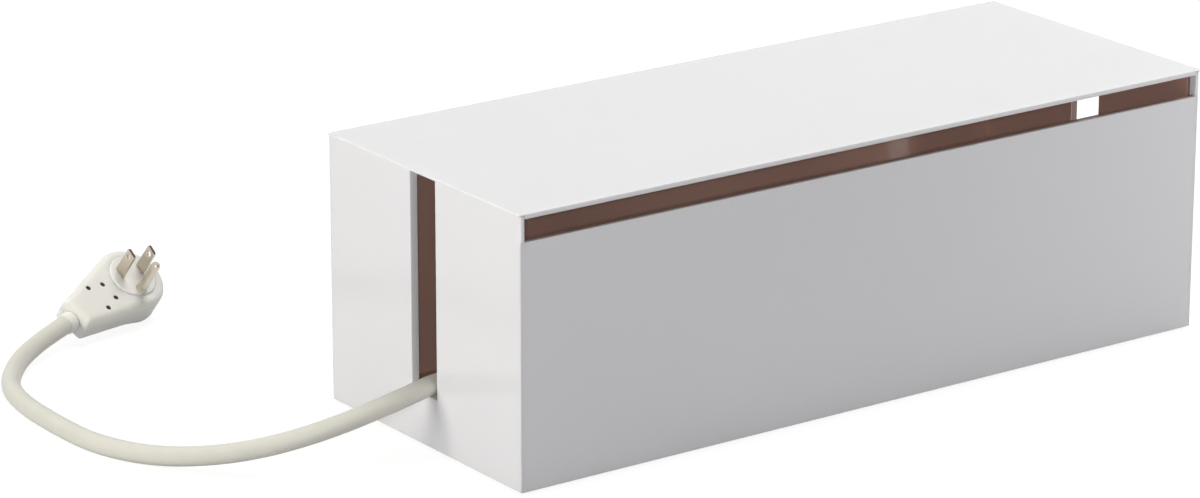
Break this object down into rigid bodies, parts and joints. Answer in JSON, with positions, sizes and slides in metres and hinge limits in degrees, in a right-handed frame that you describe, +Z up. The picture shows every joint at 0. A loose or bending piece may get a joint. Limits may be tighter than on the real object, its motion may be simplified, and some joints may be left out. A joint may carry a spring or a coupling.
{
  "type": "cable management box",
  "caption": "Long two-layer plastic box with a lift-off lid and cable slots at the front and ends, holding a power strip whose cord ends in a flat turning plug.",
  "frame": {"origin": "on the surface that the box stands on, under the middle of the lid and walls", "axes": "+X along the box towards the end away from the cord, -Y towards the long front slot, +Z up"},
  "size_m": [0.5483, 0.3429, 0.135],
  "materials": {
    "white_abs": "smooth gloss white",
    "brown_abs": "smooth gloss brown",
    "silicone": "matt, slightly soft",
    "pad_rubber": "matt black",
    "strip_plastic": "fine satin texture",
    "outlet_plastic": "smooth semi-gloss",
    "bezel_plastic": "satin black",
    "rocker_plastic": "smooth gloss black",
    "bar_brass": "bright rolled strip",
    "screw_steel": "zinc-plated",
    "relief_pvc": "soft satin",
    "cord_pvc": "soft satin, warm light grey",
    "plug_plastic": "satin off-white",
    "collar_pvc": "satin off-white",
    "disc_plastic": "satin off-white",
    "prong_nickel": "nickel-plated brass, lightly brushed"
  },
  "bodies": {
    "box": {"back_liner": "brown_abs", "back_panel": "white_abs", "base_liner": "brown_abs", "base_panel": "white_abs", "cord_relief": "relief_pvc", "feet": "silicone", "front_liner": "brown_abs", "front_panel": "white_abs", "ground_bus_bar": "bar_brass", "left_end_liner": "brown_abs", "left_end_panel": "white_abs", "line_bus_bar": "bar_brass", "mains_cord": "cord_pvc", "neutral_bus_bar": "bar_brass", "outlet_face_1": "outlet_plastic", "outlet_face_2": "outlet_plastic", "outlet_face_3": "outlet_plastic", "outlet_face_4": "outlet_plastic", "outlet_face_5": "outlet_plastic", "outlet_face_6": "outlet_plastic", "plug_back_shell": "plug_plastic", "plug_collar": "collar_pvc", "plug_front_shell": "plug_plastic", "plug_screws": "screw_steel", "right_end_liner": "brown_abs", "right_end_panel": "white_abs", "strip_base": "strip_plastic", "strip_cover": "strip_plastic", "strip_pads": "pad_rubber", "strip_screws": "screw_steel", "switch_bezel": "bezel_plastic"},
    "lid": {"lid_panel": "white_abs", "lid_liner": "brown_abs"},
    "switch_rocker": {"switch_rocker": "rocker_plastic"},
    "turning_face": {"plug_disc": "disc_plastic", "line_blade": "prong_nickel", "neutral_blade": "prong_nickel", "ground_pin": "prong_nickel"}
  },
  "joints": [
    {"name": "lid_lift", "type": "slide", "parent": "box", "child": "lid", "axis": [0, 0, 1], "range_m": [0, 0.15]},
    {"name": "rocker_throw", "type": "hinge", "parent": "box", "child": "switch_rocker", "pos_m": [-0.099, 0, 0.0424], "axis": [0, 1, 0], "range_deg": [0, 18]},
    {"name": "plug_turn", "type": "hinge", "parent": "box", "child": "turning_face", "pos_m": [-0.2223, 0.2394, 0.02351], "axis": [0.1261, -0.5902, 0.7973], "continuous": true}
  ]
}
